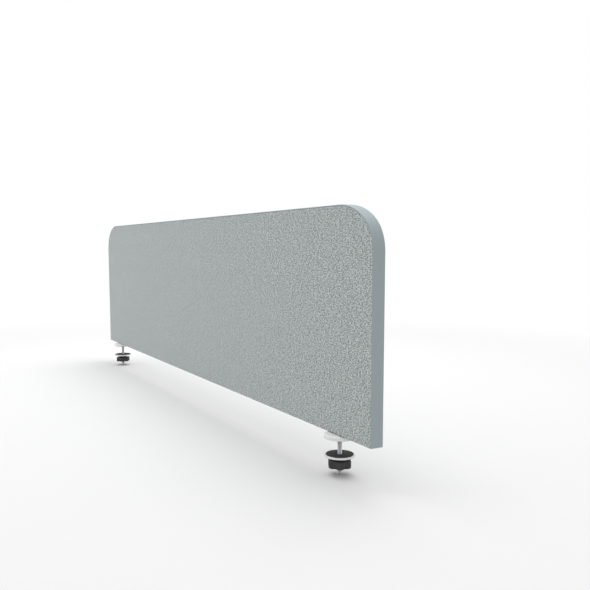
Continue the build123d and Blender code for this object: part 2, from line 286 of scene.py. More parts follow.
@dataclass(frozen=True)
class CrepeCloth:
    """Upholstery cloth in a crepe weave: pale level yarns and darker upright yarns float over each other in
    small irregular groups."""

    name: str = "crepe_cloth"
    pale: Colour = (0.617, 0.672, 0.658)
    deep: Colour = (0.172, 0.189, 0.188)
    sheen: Colour = (0.85, 0.93, 0.95)
    yarn_mm: float = 1.0
    float_mm: float = 1.55
    float_stretch: float = 2.8
    drift_mm: float = 1.2
    drift_span_mm: float = 9.0
    fibre_mm: float = 0.22
    cloud_mm: float = 10.0
    upright_seed: float = 3.0
    level_seed: float = 7.0
    relief: float = 0.30 * MM

    def build(self) -> bpy.types.Material:
        """The face is a grid of yarns. In each square a noise, the same over the whole square, decides which
        of the two yarns lies on top, and the height is half a sine wave across that yarn.

        Returns:
            The material.
        """
        shader, place = new_shader(self.name)
        drift = shader.noise(place, self.drift_span_mm, 1.0, output="Color")
        drift = shader.vector("SUBTRACT", drift, (0.5, 0.5, 0.5))
        drift = shader.vector("MULTIPLY", drift, (self.drift_mm, self.drift_mm, self.drift_mm))
        across, _, up = shader.axes(shader.vector("ADD", place, drift))
        column, row = across / self.yarn_mm, up / self.yarn_mm
        squares = self.yarn_mm / self.float_mm
        square = shader.join(column.floor() * (squares / self.float_stretch), 0.0, row.floor() * squares)
        level_on_top = shader.noise(square, 1.0, 1.0).ramp(0.46, 0.54)
        ridge = shader.mix(level_on_top, column.hump(), row.hump())
        yarn = shader.mix(level_on_top, shader.chance(column.floor(), 0.0, self.upright_seed),
                          shader.chance(0.0, row.floor(), self.level_seed))
        fibre = shader.noise(place, self.fibre_mm, rough=0.7)
        cloud = shader.noise(place, self.cloud_mm, 4.0, 0.6)
        # Painted shade: the ridge's height also darkens the colour towards each yarn's edges, here in the
        # blend and below in the tint, as shade in the grooves between round yarns.
        colour = shader.blend(0.78 * level_on_top + 0.12 * ridge + 0.10 * fibre, self.deep, self.pale)
        height = (0.55 + 0.25 * level_on_top) * ridge + 0.2 * fibre
        return shader.finish(
            # Painted shade: the ridge's share in this tint darkens the grooves between the yarns.
            Base_Color=shader.tint(colour, 0.78 + 0.06 * yarn + 0.08 * ridge + 0.28 * cloud),
            Roughness=0.92 - 0.08 * fibre,
            Normal=shader.raised(height, self.relief),
            Specular_IOR_Level=0.25,
            Sheen_Weight=0.35,
            Sheen_Roughness=0.45,
            Sheen_Tint=(*self.sheen, 1.0),
        )


@dataclass(frozen=True)
class EdgeMoulding:
    """Smooth matte edging in the cloth's colour, with faint lines along its length from the die."""

    name: str = "edge_moulding"
    colour: Colour = (0.313, 0.366, 0.379)
    worn: Colour = (0.366, 0.420, 0.433)
    line_mm: float = 0.7
    pebble_mm: float = 0.35
    cloud_mm: float = 45.0
    scuff_mm: float = 14.0
    speck_mm: float = 2.5
    line_relief: float = 0.03 * MM
    pebble_relief: float = 0.02 * MM

    def build(self) -> bpy.types.Material:
        """The die's lines are noise of Y alone, and a fine pebble lies over them.

        Returns:
            The material.
        """
        shader, place = new_shader(self.name)
        _, across, _ = shader.axes(place)
        lines = shader.noise(shader.join(0.0, across, 0.0), self.line_mm, 3.0, 0.6)
        pebble = shader.noise(place, self.pebble_mm, rough=0.6)
        cloud = shader.noise(place, self.cloud_mm, 3.0, 0.55)
        patches = shader.noise(place, self.scuff_mm, 4.0, 0.7)
        scuff = (patches * shader.noise(place, self.speck_mm)).ramp(0.33, 0.5)
        colour = shader.blend(0.25 * scuff + 0.22 * cloud, self.colour, self.worn)
        return shader.finish(
            Base_Color=shader.tint(colour, 0.97 + 0.04 * lines),
            Roughness=0.62 + 0.10 * pebble - 0.08 * scuff,
            Normal=shader.raised(pebble, self.pebble_relief, shader.raised(lines, self.line_relief)),
            Specular_IOR_Level=0.35,
        )


@dataclass(frozen=True)
class PowderCoat:
    """Satin white powder coat with its orange-peel skin."""

    name: str = "white_powder_coat"
    colour: Colour = (0.80, 0.80, 0.79)
    dulled: Colour = (0.68, 0.67, 0.65)
    peel_mm: float = 0.9
    grain_mm: float = 0.16
    handled_mm: float = 16.0
    relief: float = 0.05 * MM

    def build(self) -> bpy.types.Material:
        """The relief is mostly peel, and handled patches are darker and rougher.

        Returns:
            The material.
        """
        shader, place = new_shader(self.name)
        peel = shader.noise(place, self.peel_mm)
        grain = shader.noise(place, self.grain_mm, 1.0)
        handled = shader.noise(place, self.handled_mm, 4.0, 0.65).ramp(0.45, 0.8)
        colour = shader.blend(0.35 * handled, self.colour, self.dulled)
        return shader.finish(
            Base_Color=shader.tint(colour, 0.98 + 0.03 * grain),
            Roughness=0.36 + 0.12 * handled + 0.08 * grain,
            Normal=shader.raised(0.85 * peel + 0.15 * grain, self.relief),
            Specular_IOR_Level=0.5,
        )


class Turned(Enum):
    """The axis round which tool marks run, as the stretch of the pattern along X, Y and Z."""

    UPRIGHT = (0.12, 0.12, 1.0)
    ALONG = (0.05, 1.0, 1.0)
    EVEN = (1.0, 1.0, 1.0)


@dataclass(frozen=True)
class BrightMetal:
    """Plated steel or turned brass, with fine tool marks and dull patches."""

    name: str
    colour: Colour
    dulled: Colour
    marks: Turned = Turned.EVEN
    roughness: float = 0.30
    mark_mm: float = 0.4
    spangle_mm: float = 1.6
    patch_mm: float = 7.0
    relief: float = 0.02 * MM

    def build(self) -> bpy.types.Material:
        """The relief is the tool marks alone. Patches and a faint spangle dull the colour.

        Returns:
            The material.
        """
        shader, place = new_shader(self.name)
        marks = shader.noise(shader.place(self.marks.value), self.mark_mm, 3.0, 0.65)
        spangle, _, _ = shader.axes(shader.cells(place, self.spangle_mm, output="Color"))
        patch = shader.noise(place, self.patch_mm, 4.0, 0.6).ramp(0.4, 0.75)
        return shader.finish(
            Base_Color=shader.blend(0.55 * patch + 0.15 * spangle, self.colour, self.dulled),
            Metallic=1.0,
            Roughness=self.roughness + 0.16 * patch + 0.08 * marks,
            Normal=shader.raised(marks, self.relief),
        )


@dataclass(frozen=True)
class Moulded:
    """Moulded polymer or rubber with an eroded skin, slightly paler where it is handled."""

    name: str
    colour: Colour
    rubbed: Colour
    skin_mm: float = 0.45
    relief: float = 0.04 * MM
    roughness: float = 0.55
    fine_mm: float = 0.14
    rub_mm: float = 8.0

    def build(self) -> bpy.types.Material:
        """The relief is mostly cells, and rubbed patches are paler and smoother.

        Returns:
            The material.
        """
        shader, place = new_shader(self.name)
        skin = shader.cells(place, self.skin_mm, "SMOOTH_F1")
        fine = shader.noise(place, self.fine_mm, 1.0)
        rubbed = shader.noise(place, self.rub_mm, 3.0, 0.6).ramp(0.42, 0.78)
        return shader.finish(
            Base_Color=shader.blend(0.6 * rubbed + 0.25 * fine, self.colour, self.rubbed),
            Roughness=self.roughness - 0.12 * rubbed + 0.10 * fine,
            Normal=shader.raised(0.8 * skin + 0.2 * fine, self.relief),
        )


@dataclass(frozen=True)
class Timber:
    """Board or turned timber: fibres drawn out or pressed along one axis, broad bands and chips. The bands
    and chips are sized as so many fibres."""

    name: str
    pale: Colour
    deep: Colour
    stretch: Triple
    fibre_mm: float
    band_fibres: float = 9.0
    chip_fibres: float = 2.4
    relief: float = 0.05 * MM

    def build(self) -> bpy.types.Material:
        """The fibres and bands are noise and the chips are cells.

        Returns:
            The material.
        """
        shader, drawn = new_shader(self.name, self.stretch)
        fibre = shader.noise(drawn, self.fibre_mm, 4.0, 0.7)
        band = shader.noise(drawn, self.fibre_mm * self.band_fibres)
        chip = shader.cells(drawn, self.fibre_mm * self.chip_fibres)
        tone = (0.50 * fibre + 0.35 * band + 0.25 * chip).ramp(0.25, 0.8)
        return shader.finish(
            Base_Color=shader.blend(tone, self.deep, self.pale),
            Roughness=0.78 + 0.12 * fibre,
            Normal=shader.raised(0.7 * fibre + 0.3 * chip, self.relief),
            Specular_IOR_Level=0.3,
        )


@dataclass(frozen=True)
class Wadding:
    """Foam or felted filling: open cells, matted fibres and faint clouds. The fibres and clouds are sized as
    so many pores."""

    name: str
    pale: Colour
    deep: Colour
    pore_mm: float
    stretch: Triple = (1.0, 1.0, 1.0)
    relief: float = 0.4 * MM
    fibre_pores: float = 0.8
    cloud_pores: float = 22.0

    def build(self) -> bpy.types.Material:
        """The pores are cells, and the fibres and clouds are noise.

        Returns:
            The material.
        """
        shader, drawn = new_shader(self.name, self.stretch)
        pores = shader.cells(drawn, self.pore_mm).ramp(0.05, 0.65)
        fibre = shader.noise(drawn, self.pore_mm * self.fibre_pores, 4.0, 0.75)
        cloud = shader.noise(drawn, self.pore_mm * self.cloud_pores, 3.0)
        return shader.finish(
            Base_Color=shader.blend(0.5 * pores + 0.3 * fibre + 0.2 * cloud, self.deep, self.pale),
            Roughness=0.95 - 0.05 * fibre,
            Normal=shader.raised(0.6 * pores + 0.4 * fibre, self.relief),
            Specular_IOR_Level=0.2,
        )


@dataclass(frozen=True)
class StudioFloor:
    """A pale floor that keeps the object's shadow near it and fades to white further off."""

    name: str = "studio_floor"
    pale: Colour = (0.72, 0.72, 0.72)
    white: Colour = (1.0, 1.0, 1.0)
    fade_from: float = 1.1
    fade_to: float = 2.4

    def build(self) -> bpy.types.Material:
        """The floor is plain and pale. To camera and mirror rays it turns to white with the distance from
        the origin.

        Returns:
            The material.
        """
        shader = Shader(bpy.data.materials.new(self.name))
        at = shader.node("ShaderNodeTexCoord", output="Object")
        distance = shader.vector("LENGTH", at, output="Value")
        fade = distance.ramp(self.fade_from, self.fade_to) * Studio.seen_ray(shader)
        pale = shader.node("ShaderNodeBsdfDiffuse", inputs={"Color": (*self.pale, 1.0)})
        white = shader.node("ShaderNodeEmission", inputs={"Color": (*self.white, 1.0)})
        surface = shader.node("ShaderNodeMixShader", inputs={0: fade, 1: pale, 2: white})
        shader.node("ShaderNodeOutputMaterial", inputs={"Surface": surface})
        return shader.owner


CLOTH = CrepeCloth()
EDGING = EdgeMoulding()
WHITE = PowderCoat()
ZINC = BrightMetal("zinc_plate", (0.74, 0.75, 0.77), (0.50, 0.51, 0.53))
TURNED_ZINC = BrightMetal("rolled_zinc_thread", (0.72, 0.73, 0.75), (0.45, 0.46, 0.48), Turned.UPRIGHT, 0.26)
STAPLE = BrightMetal("staple_wire", (0.66, 0.66, 0.66), (0.42, 0.42, 0.43), Turned.ALONG, 0.34)
BRASS = BrightMetal("turned_brass", (0.83, 0.64, 0.30), (0.52, 0.38, 0.17), Turned.UPRIGHT, 0.24)
NYLON = Moulded("black_nylon", (0.020, 0.020, 0.021), (0.050, 0.050, 0.052))
RUBBER = Moulded("grip_rubber", (0.022, 0.022, 0.022), (0.060, 0.058, 0.055), 0.8, 0.06 * MM, 0.82)
STRIP = Moulded("grey_strip", (0.085, 0.092, 0.094), (0.130, 0.138, 0.140), 0.6, 0.03 * MM, 0.6)
BOARD = Timber("sanded_fibreboard", (0.56, 0.42, 0.27), (0.36, 0.25, 0.15), (1.0, 2.2, 1.0), 0.9)
BEECH = Timber("fluted_beech", (0.76, 0.58, 0.39), (0.56, 0.38, 0.22), (1.0, 1.0, 0.12), 0.5)
FOAM = Wadding("lining_foam", (0.66, 0.66, 0.60), (0.34, 0.34, 0.31), 1.1)
FELT = Wadding("felt_infill", (0.52, 0.54, 0.53), (0.20, 0.21, 0.21), 1.8, (0.5, 2.5, 1.0), 0.6 * MM)

Finish = CrepeCloth | EdgeMoulding | PowderCoat | BrightMetal | Moulded | Timber | Wadding


class Workshop:
    """Makes each finish once and puts it on pieces."""

    def __init__(self) -> None:
        """Starts with no finish made."""
        self.made: dict[str, bpy.types.Material] = {}

    def dress(self, piece: bpy.types.Object, finish: Finish) -> None:
        """Gives a piece one finish all over.

        Args:
            piece: the piece.
            finish: the finish, whose material is made at its first use.
        """
        if finish.name not in self.made:
            self.made[finish.name] = finish.build()
        slots = piece.data.materials
        if not slots:
            slots.append(None)
        for index in range(len(slots)):
            slots[index] = self.made[finish.name]


# Mesh building


def merged(*parts: Array | float) -> Array:
    """Points from their coordinates, where one number stands for a whole array of it."""
    return np.stack(np.broadcast_arrays(*parts), -1)


def round_angles(count: int) -> Array:
    """Evenly spread angles in radians, once round from 0."""
    return np.linspace(0.0, 2 * np.pi, count, endpoint=False)


def quarter(count: int) -> Array:
    """Angles in radians from 0 to a right angle."""
    return np.radians(np.linspace(0.0, 90.0, count))


def from_spoke(angle: Array, spokes: int) -> Array:
    """Each angle less that of the nearest of some evenly spread spokes, the first of them at 0."""
    half = np.pi / spokes
    return (angle + half) % (2 * half) - half


def thread_turn(heights: Array, angle: Array, pitch: float) -> Array:
    """How far round its thread each point is, from 0 to 1: the height in pitches less the angle in turns."""
    return (heights[:, None] / pitch - angle[None] / (2 * np.pi)) % 1.0


def arc(centre: tuple[float, float], radius: float, start: float, end: float, steps: int) -> Array:
    """Points round an arc: the centre plus radius times the cosine and sine of angles from start to end.

    Args:
        centre: the arc's centre.
        radius: its radius.
        start: the first angle in degrees.
        end: the last angle in degrees.
        steps: the number of points.

    Returns:
        The points, (steps, 2).
    """
    angle = np.radians(np.linspace(start, end, steps))
    return np.array(centre) + radius * merged(np.cos(angle), np.sin(angle))


def mirrored(half: Array) -> Array:
    """A closed profile from its half towards +Y. Points at Y = 0 aren't doubled."""
    back = half[::-1]
    return np.concatenate([half, back[back[:, 0] > 0.0] * (-1.0, 1.0)])


class Surface:
    """Points and faces gathered as arrays, and made into one object at the end."""

    def __init__(self) -> None:
        """Starts empty."""
        self.points: list[Array] = []
        self.faces: list[Array] = []
        self.count = 0

    def add_points(self, points: Array) -> Array:
        """Adds an array of points, (..., 3).

        Args:
            points: the points.

        Returns:
            Their numbers, in the same shape without the last axis.
        """
        flat = points.reshape(-1, 3)
        numbers = self.count + np.arange(len(flat)).reshape(points.shape[:-1])
        self.points.append(flat)
        self.count += len(flat)
        return numbers

    def add_grid(self, numbers: Array, loop: bool = False, close: bool = False) -> None:
        """Joins a grid of points with quads.

        Args:
            numbers: the points' numbers, (rows, columns).
            loop: joins the last column to the first.
            close: joins the last row to the first.
        """
        if loop:
            numbers = np.concatenate([numbers, numbers[:, :1]], 1)
        if close:
            numbers = np.concatenate([numbers, numbers[:1]], 0)
        corners = (numbers[:-1, :-1], numbers[:-1, 1:], numbers[1:, 1:], numbers[1:, :-1])
        self.faces.append(np.stack(corners, -1).reshape(-1, 4))

    def add_fan(self, ring: Array, centre: Array) -> None:
        """Closes a ring of points onto one centre point.

        Args:
            ring: the ring's numbers.
            centre: the centre's place.
        """
        hub = self.add_points(centre.reshape(1, 3))
        self.faces.append(merged(ring, np.roll(ring, -1), hub))

    def add_cap(self, ring: Array) -> None:
        """Closes a ring of points with one flat face."""
        self.faces.append(ring.reshape(1, -1))

    def build(self, name: str) -> bpy.types.Object:
        """Makes the object, with its faces turned outwards and smooth except past the sharp angle.

        Args:
            name: the piece's name.

        Returns:
            The object.
        """
        mesh = bpy.data.meshes.new(name)
        faces = [face for group in self.faces for face in group.tolist()]
        mesh.from_pydata(np.concatenate(self.points).tolist(), [], faces)
        work = bmesh.new()
        work.from_mesh(mesh)
        bmesh.ops.recalc_face_normals(work, faces=work.faces)
        work.to_mesh(mesh)
        work.free()
        mesh.shade_smooth()
        mesh.set_sharp_from_angle(angle=SHARP_ANGLE)
        piece = bpy.data.objects.new(name, mesh)
        bpy.context.scene.collection.objects.link(piece)
        return piece


def sweep(profile: Array, path: Array, outward: Array) -> Surface:
    """A closed profile carried along an open path in the XZ plane. A profile point (y, depth) lands on
    the path's point less depth times the outward direction, at that y.

    Args:
        profile: the profile's (y, depth) points, in order round it.
        path: the path's (x, z) points.
        outward: the outward direction at each of them.

    Returns:
        The surface, with its two ends capped.
    """
    flat = path[:, None, :] - outward[:, None, :] * profile[None, :, 1:2]
    surface = Surface()
    numbers = surface.add_points(merged(flat[..., 0], profile[None, :, 0], flat[..., 1]))
    surface.add_grid(numbers, loop=True)
    surface.add_cap(numbers[0])
    surface.add_cap(numbers[-1])
    return surface


def lathe(heights: Array, radii: Array, centre: tuple[float, float], hollow: bool = True,
          surface: Surface | None = None) -> Surface:
    """Rings of points round an upright axis. Ring i stands at heights[i] and its radius at each angle is
    radii[i], so a row of equal radii is a circle and an uneven one a hexagon, a lobed grip or a thread.

    Args:
        heights: each ring's height.
        radii: each ring's radius at each angle, (rings, angles).
        centre: the axis's (x, y).
        hollow: joins the last ring to the first. Otherwise both end rings close onto the axis.
        surface: what the rings are added to, or None for a new one.

    Returns:
        The surface.
    """
    surface = surface or Surface()
    angle = round_angles(radii.shape[1])
    x = centre[0] + radii * np.cos(angle)
    y = centre[1] + radii * np.sin(angle)
    numbers = surface.add_points(merged(x, y, heights[:, None]))
    surface.add_grid(numbers, loop=True, close=hollow)
    if not hollow:
        for ring in (0, -1):
            surface.add_fan(numbers[ring], np.array([*centre, heights[ring]]))
    return surface


def turned(profile: Array, centre: tuple[float, float]) -> Surface:
    """A ring turned round an upright axis from a closed (radius, height) profile."""
    return lathe(profile[:, 1], np.repeat(profile[:, :1], TURNED_ANGLES, 1), centre)


@dataclass(frozen=True)
class Field:
    """A flat region in the XZ plane between a level lower edge and a top edge given column by column."""

    x: Array
    low: float
    top: Array
    rows: int

    def grid(self) -> tuple[Array, Array]:
        """A grid over the region. In each column Z runs evenly from low to the top edge.

        Returns:
            X and Z of the grid's points, (rows, columns).
        """
        share = np.linspace(0.0, 1.0, self.rows)[:, None]
        z = self.low + share * (self.top - self.low)[None, :]
        return np.broadcast_to(self.x, z.shape), z

    def loop(self, numbers: Array) -> Array:
        """The numbers of the grid's outer points, in order round it."""
        return np.concatenate([numbers[0], numbers[1:, -1], numbers[-1, -2::-1], numbers[-2:0:-1, 0]])

    def edge(self) -> tuple[Array, Array]:
        """The outer points and, at each, the direction that moves both its neighbouring edges out by one:
        the sum of their unit normals over one plus the cosine between these.

        Returns:
            The (x, z) points and the directions.
        """
        x, z = self.grid()
        order = self.loop(np.arange(x.size).reshape(x.shape))
        points = merged(x.ravel(), z.ravel())[order]
        ahead = np.roll(points, -1, 0) - points
        normal = merged(ahead[:, 1], -ahead[:, 0])
        normal /= np.linalg.norm(normal, axis=1, keepdims=True)
        before = np.roll(normal, 1, 0)
        cosine = (normal * before).sum(1, keepdims=True)
        return points, (normal + before) / (1.0 + cosine)


@dataclass(frozen=True)
class Skin:
    """A field with a rim: the face stands at depth 0, and the rim runs out and back along a profile."""

    field: Field
    rim: Array

    def add_to(self, surface: Surface, face_y: float, inwards: float,
               relief: Callable[[Array, Array], Array]) -> Array:
        """Adds the face and its rim to a surface.

        Args:
            surface: the surface.
            face_y: the face's place in Y.
            inwards: 1 if the rim runs towards +Y from the face, and -1 if towards -Y.
            relief: how far inwards the face lies at each X and Z.

        Returns:
            The numbers of the rim's last ring.
        """
        x, z = self.field.grid()
        numbers = surface.add_points(merged(x, face_y + inwards * relief(x, z), z))
        surface.add_grid(numbers)
        points, outward = self.field.edge()
        flat = points[None] + outward[None] * self.rim[:, None, :1]
        depth = face_y + inwards * self.rim[:, None, 1]
        rings = surface.add_points(merged(flat[..., 0], depth, flat[..., 1]))
        rings = np.concatenate([self.field.loop(numbers)[None], rings])
        surface.add_grid(rings, loop=True)
        return rings[-1]


def ripple(x: Array, z: Array, depth: float, span: float) -> Array:
    """Gentle waves: a weighted sum of products of sines in X and Z, from 0 to about depth.

    Args:
        x: the places along X.
        z: the places along Z.
        depth: the greatest height.
        span: the longest wave's length.

    Returns:
        The height at each place.
    """
    total = np.zeros(np.broadcast(x, z).shape)
    for share, turn, weight in RIPPLES:
        wave = 2 * np.pi / (span * share)
        total += weight * (0.5 + 0.5 * np.sin(wave * x + turn) * np.cos(wave * RIPPLE_RISE * z - turn))
    return depth * total


def fit_piece(piece: bpy.types.Object, body: str, slot: str, *nodes: str) -> None:
    """Puts a finished piece on its body, in place of its CAD nodes.

    Args:
        piece: the piece.
        body: the CAD body that it rides on.
        slot: its material slot in the record, which is not used.
        nodes: the CAD nodes that it replaces.
    """
    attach(piece, body)
    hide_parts(*nodes)
    log.info("%s rides on %s in place of %s", piece.name, body, ", ".join(nodes))


# The screen


class End(Enum):
    """The two ends of the screen, by their words in the nodes' names."""

    NEAR = "near"
    FAR = "far"


class Bay(Enum):
    """The three bays of the frame, by their words in the nodes' names."""

    NEAR = "near"
    MIDDLE = "middle"
    FAR = "far"


class Side(Enum):
    """The two faces of the screen, each with its sign along Y."""

    FRONT = -1
    BACK = 1

    @property
    def word(self) -> str:
        """The face's word in the nodes' names."""
        return self.name.lower()


@dataclass(frozen=True)
class Outline:
    """The screen's outline: upright ends, a level top and two long upper corners. Each corner is a small arc
    from the end and a larger one to the top, which share a tangent where they meet."""

    half_length: float
    low: float
    top: float
    side_radius: float = 70.0 * MM
    top_radius: float = 124.0 * MM
    turn: float = 55.0

    def corner(self, steps: int) -> tuple[Array, Array]:
        """The near corner, from the end up to the top. Each point is its arc's centre plus the radius times
        the outward direction.

        Args:
            steps: the number of points on each arc.

        Returns:
            The (x, z) points and the outward direction at each.
        """
        side = arc((0.0, 0.0), 1.0, 0.0, self.turn, steps)
        top = arc((0.0, 0.0), 1.0, self.turn, 90.0, steps)[1:]
        apart = (self.top_radius - self.side_radius) * side[-1]
        top_centre = np.array([self.half_length - self.side_radius - apart[0], self.top - self.top_radius])
        points = [top_centre + apart + self.side_radius * side, top_centre + self.top_radius * top]
        return np.concatenate(points), np.concatenate([side, top])

    def field(self, inset: float, raise_low: float, pitch: float) -> Field:
        """The region inside the outline. In the corners the columns stand below the corner's own points.

        Args:
            inset: how far it is drawn in at the ends and the top.
            raise_low: how far its lower edge is raised.
            pitch: the grid's spacing.

        Returns:
            The field.
        """
        points, outward = self.corner(1 + math.ceil(self.top_radius / pitch))
        reach, height = (points - inset * outward).T
        middle = np.linspace(-reach[-1], reach[-1], 1 + math.ceil(2 * reach[-1] / pitch))[1:-1]
        x = np.concatenate([-reach, middle, reach[::-1]])
        edge = np.concatenate([height, np.full_like(middle, self.top - inset), height[::-1]])
        low = self.low + raise_low
        return Field(x, low, edge, 1 + math.ceil((self.top - inset - low) / pitch))

    def path(self, pitch: float, corner_steps: int) -> tuple[Array, Array]:
        """The open path from the near end's foot, up and over the top, to the far end's foot.

        Args:
            pitch: the spacing along the straights.
            corner_steps: the number of points on each arc of a corner.

        Returns:
            The (x, z) points and the outward direction at each.
        """
        corner, outward = self.corner(corner_steps)
        rise = np.linspace(self.low, corner[0, 1], math.ceil((corner[0, 1] - self.low) / pitch))[:-1]
        run = np.linspace(corner[-1, 0], 0.0, math.ceil(corner[-1, 0] / pitch))[1:]
        points = np.concatenate([merged(self.half_length, rise), corner, merged(run, self.top)])
        outward = np.concatenate([np.tile((1.0, 0.0), (len(rise), 1)), outward,
                                  np.tile((0.0, 1.0), (len(run), 1))])
        return tuple(np.concatenate([half, half[-2::-1] * (-1.0, 1.0)]) for half in (points, outward))


@dataclass(frozen=True)
class EdgeTrim:
    """The moulded edge round both ends and the top: a cap with a barbed tongue."""

    workshop: Workshop
    outline: Outline
    half_width: float = 12.0 * MM
    cap: float = 2.5 * MM
    arris: float = 1.0 * MM
    inner_arris: float = 0.15 * MM
    crown: float = 0.12 * MM
    parting_width: float = 0.5 * MM
    parting_depth: float = 0.12 * MM
    tongue_half: float = 1.2 * MM
    tongue_depth: float = 9.0 * MM
    tip_half: float = 0.72 * MM
    barb_half: float = 1.55 * MM
    barb_rise: float = 0.1 * MM
    barb_length: float = 0.8 * MM
    barb_starts: tuple[float, ...] = (3.4 * MM, 5.6 * MM, 7.8 * MM)
    pitch: float = 12.0 * MM
    corner_steps: int = 25
    face_steps: int = 9
    arris_steps: int = 7
    inner_steps: int = 4

    def profile(self) -> Array:
        """One half of the section, and its mirror image. From the middle of the cap's outer face it goes
        over the parting line and the crowned face, round the arris, back under the cap and down the tongue.

        Returns:
            The (y, depth) points.
        """
        edge = self.half_width - self.arris
        across = np.linspace(self.parting_width, edge, self.face_steps)
        parting = [(0.0, self.parting_depth), (self.parting_width / 2, self.parting_depth / 2)]
        crowned = merged(across, self.crown * (across / edge) ** 2)
        outer = arc((edge, self.crown + self.arris), self.arris, -90.0, 0.0, self.arris_steps)[1:]
        inner_centre = (self.half_width - self.inner_arris, self.cap - self.inner_arris)
        inner = arc(inner_centre, self.inner_arris, 0.0, 90.0, self.inner_steps)
        tongue = [(self.tongue_half, self.cap)]
        for start in self.barb_starts:
            foot = self.cap + start
            tongue += [(self.tongue_half, foot - self.barb_rise), (self.barb_half, foot),
                       (self.tongue_half, foot + self.barb_length)]
        tip = [(self.tip_half, self.cap + self.tongue_depth)]
        return mirrored(np.concatenate([parting, crowned, outer, inner, tongue, tip]))

    def build(self) -> None:
        """Makes the trim."""
        path, outward = self.outline.path(self.pitch, self.corner_steps)
        piece = sweep(self.profile(), path, outward).build("moulded_edge_trim")
        self.workshop.dress(piece, EDGING)
        fit_piece(piece, "screen", "edge_trim", "edge_trim")


@dataclass(frozen=True)
class Cover:
    """A cloth cover, stretched over its foam, with its hems turned over the frame's edge."""

    workshop: Workshop
    outline: Outline
    side: Side
    half_thickness: float = 12.0 * MM
    inset: float = 2.52 * MM
    cloth: float = 0.9 * MM
    roll: float = 0.95 * MM
    hem_from_middle: float = 3.2 * MM
    waves: float = 0.10 * MM
    wave_span: float = 310.0 * MM
    calm_edge: float = 40.0 * MM
    pitch: float = 6.0 * MM
    roll_steps: int = 7
    hem_steps: int = 4
    lift: float = 0.05 * MM
    flat: tuple[float, float] = (1.613, 0.416)

    def relief(self, x: Array, z: Array) -> Array:
        """Shallow waves that die out towards the edges, so that the cloth lies flat at its roll.

        Args:
            x: the places along X.
            z: the places along Z.

        Returns:
            How far inwards the cloth lies at each place.
        """
        waves = ripple(x, z, self.waves, self.wave_span)
        for inside in (self.outline.half_length - np.abs(x), self.outline.top - z, z - self.outline.low):
            waves = waves * np.clip(inside / self.calm_edge, 0.0, 1.0)
        return waves

    def skin(self, inside: float) -> Skin:
        """The cloth's outer side if inside is 0, or the side that lies inside by that much.

        Args:
            inside: how far in it lies.

        Returns:
            The skin. Its rim is a quarter round of the roll's radius, then runs straight to the hem.
        """
        field = self.outline.field(self.inset + self.roll, self.roll + self.lift, self.pitch)
        radius = self.roll - inside
        turn = quarter(self.roll_steps)[1:]
        rolled = merged(radius * np.sin(turn), self.roll - radius * np.cos(turn) - inside)
        end = self.half_thickness - self.hem_from_middle - inside
        straight = merged(radius, np.linspace(self.roll - inside, end, self.hem_steps)[1:])
        return Skin(field, np.concatenate([rolled, straight]))

    def build(self) -> None:
        """Makes the cover: its outer side, its inner side, and the strip between their hems."""
        surface = Surface()
        face = self.side.value * self.half_thickness
        inwards = -self.side.value
        outer = self.skin(0.0).add_to(surface, face, inwards, self.relief)
        inner = self.skin(self.cloth).add_to(surface, face + inwards * self.cloth, inwards, self.relief)
        surface.add_grid(np.stack([outer, inner]), loop=True)
        piece = surface.build(f"{self.side.word}_crepe_cover")
        self.workshop.dress(piece, CLOTH)
        fit_piece(piece, "screen", "cover_cloth", f"{self.side.word}_cover")


@dataclass(frozen=True)
class Filling:
    """A soft slab as thick as its node less a gap on each side, with rounded edges and an uneven face on both
    sides."""

    workshop: Workshop
    name: str
    node: str
    slot: str
    finish: Finish
    field: Field
    edge: float
    unevenness: float
    fill: float
    gap: float = 0.0
    bump_span: float = 55.0 * MM
    edge_steps: int = 5

    def relief(self, x: Array, z: Array) -> Array:
        """Low bumps all over the face."""
        return ripple(x, z, self.unevenness, self.bump_span)

    def build(self) -> None:
        """Makes the slab: each face carries a quarter-round rim, and the two rims meet."""
        low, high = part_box(self.node)
        turn = quarter(self.edge_steps)[1:]
        skin = Skin(self.field, self.edge * merged(np.sin(turn), 1.0 - np.cos(turn)))
        surface = Surface()
        front = skin.add_to(surface, low.y + self.gap, 1.0, self.relief)
        back = skin.add_to(surface, high.y - self.gap, -1.0, self.relief)
        surface.add_grid(np.stack([front, back]), loop=True)
        piece = surface.build(self.name)
        self.workshop.dress(piece, self.finish)
        fit_piece(piece, "screen", self.slot, self.node)


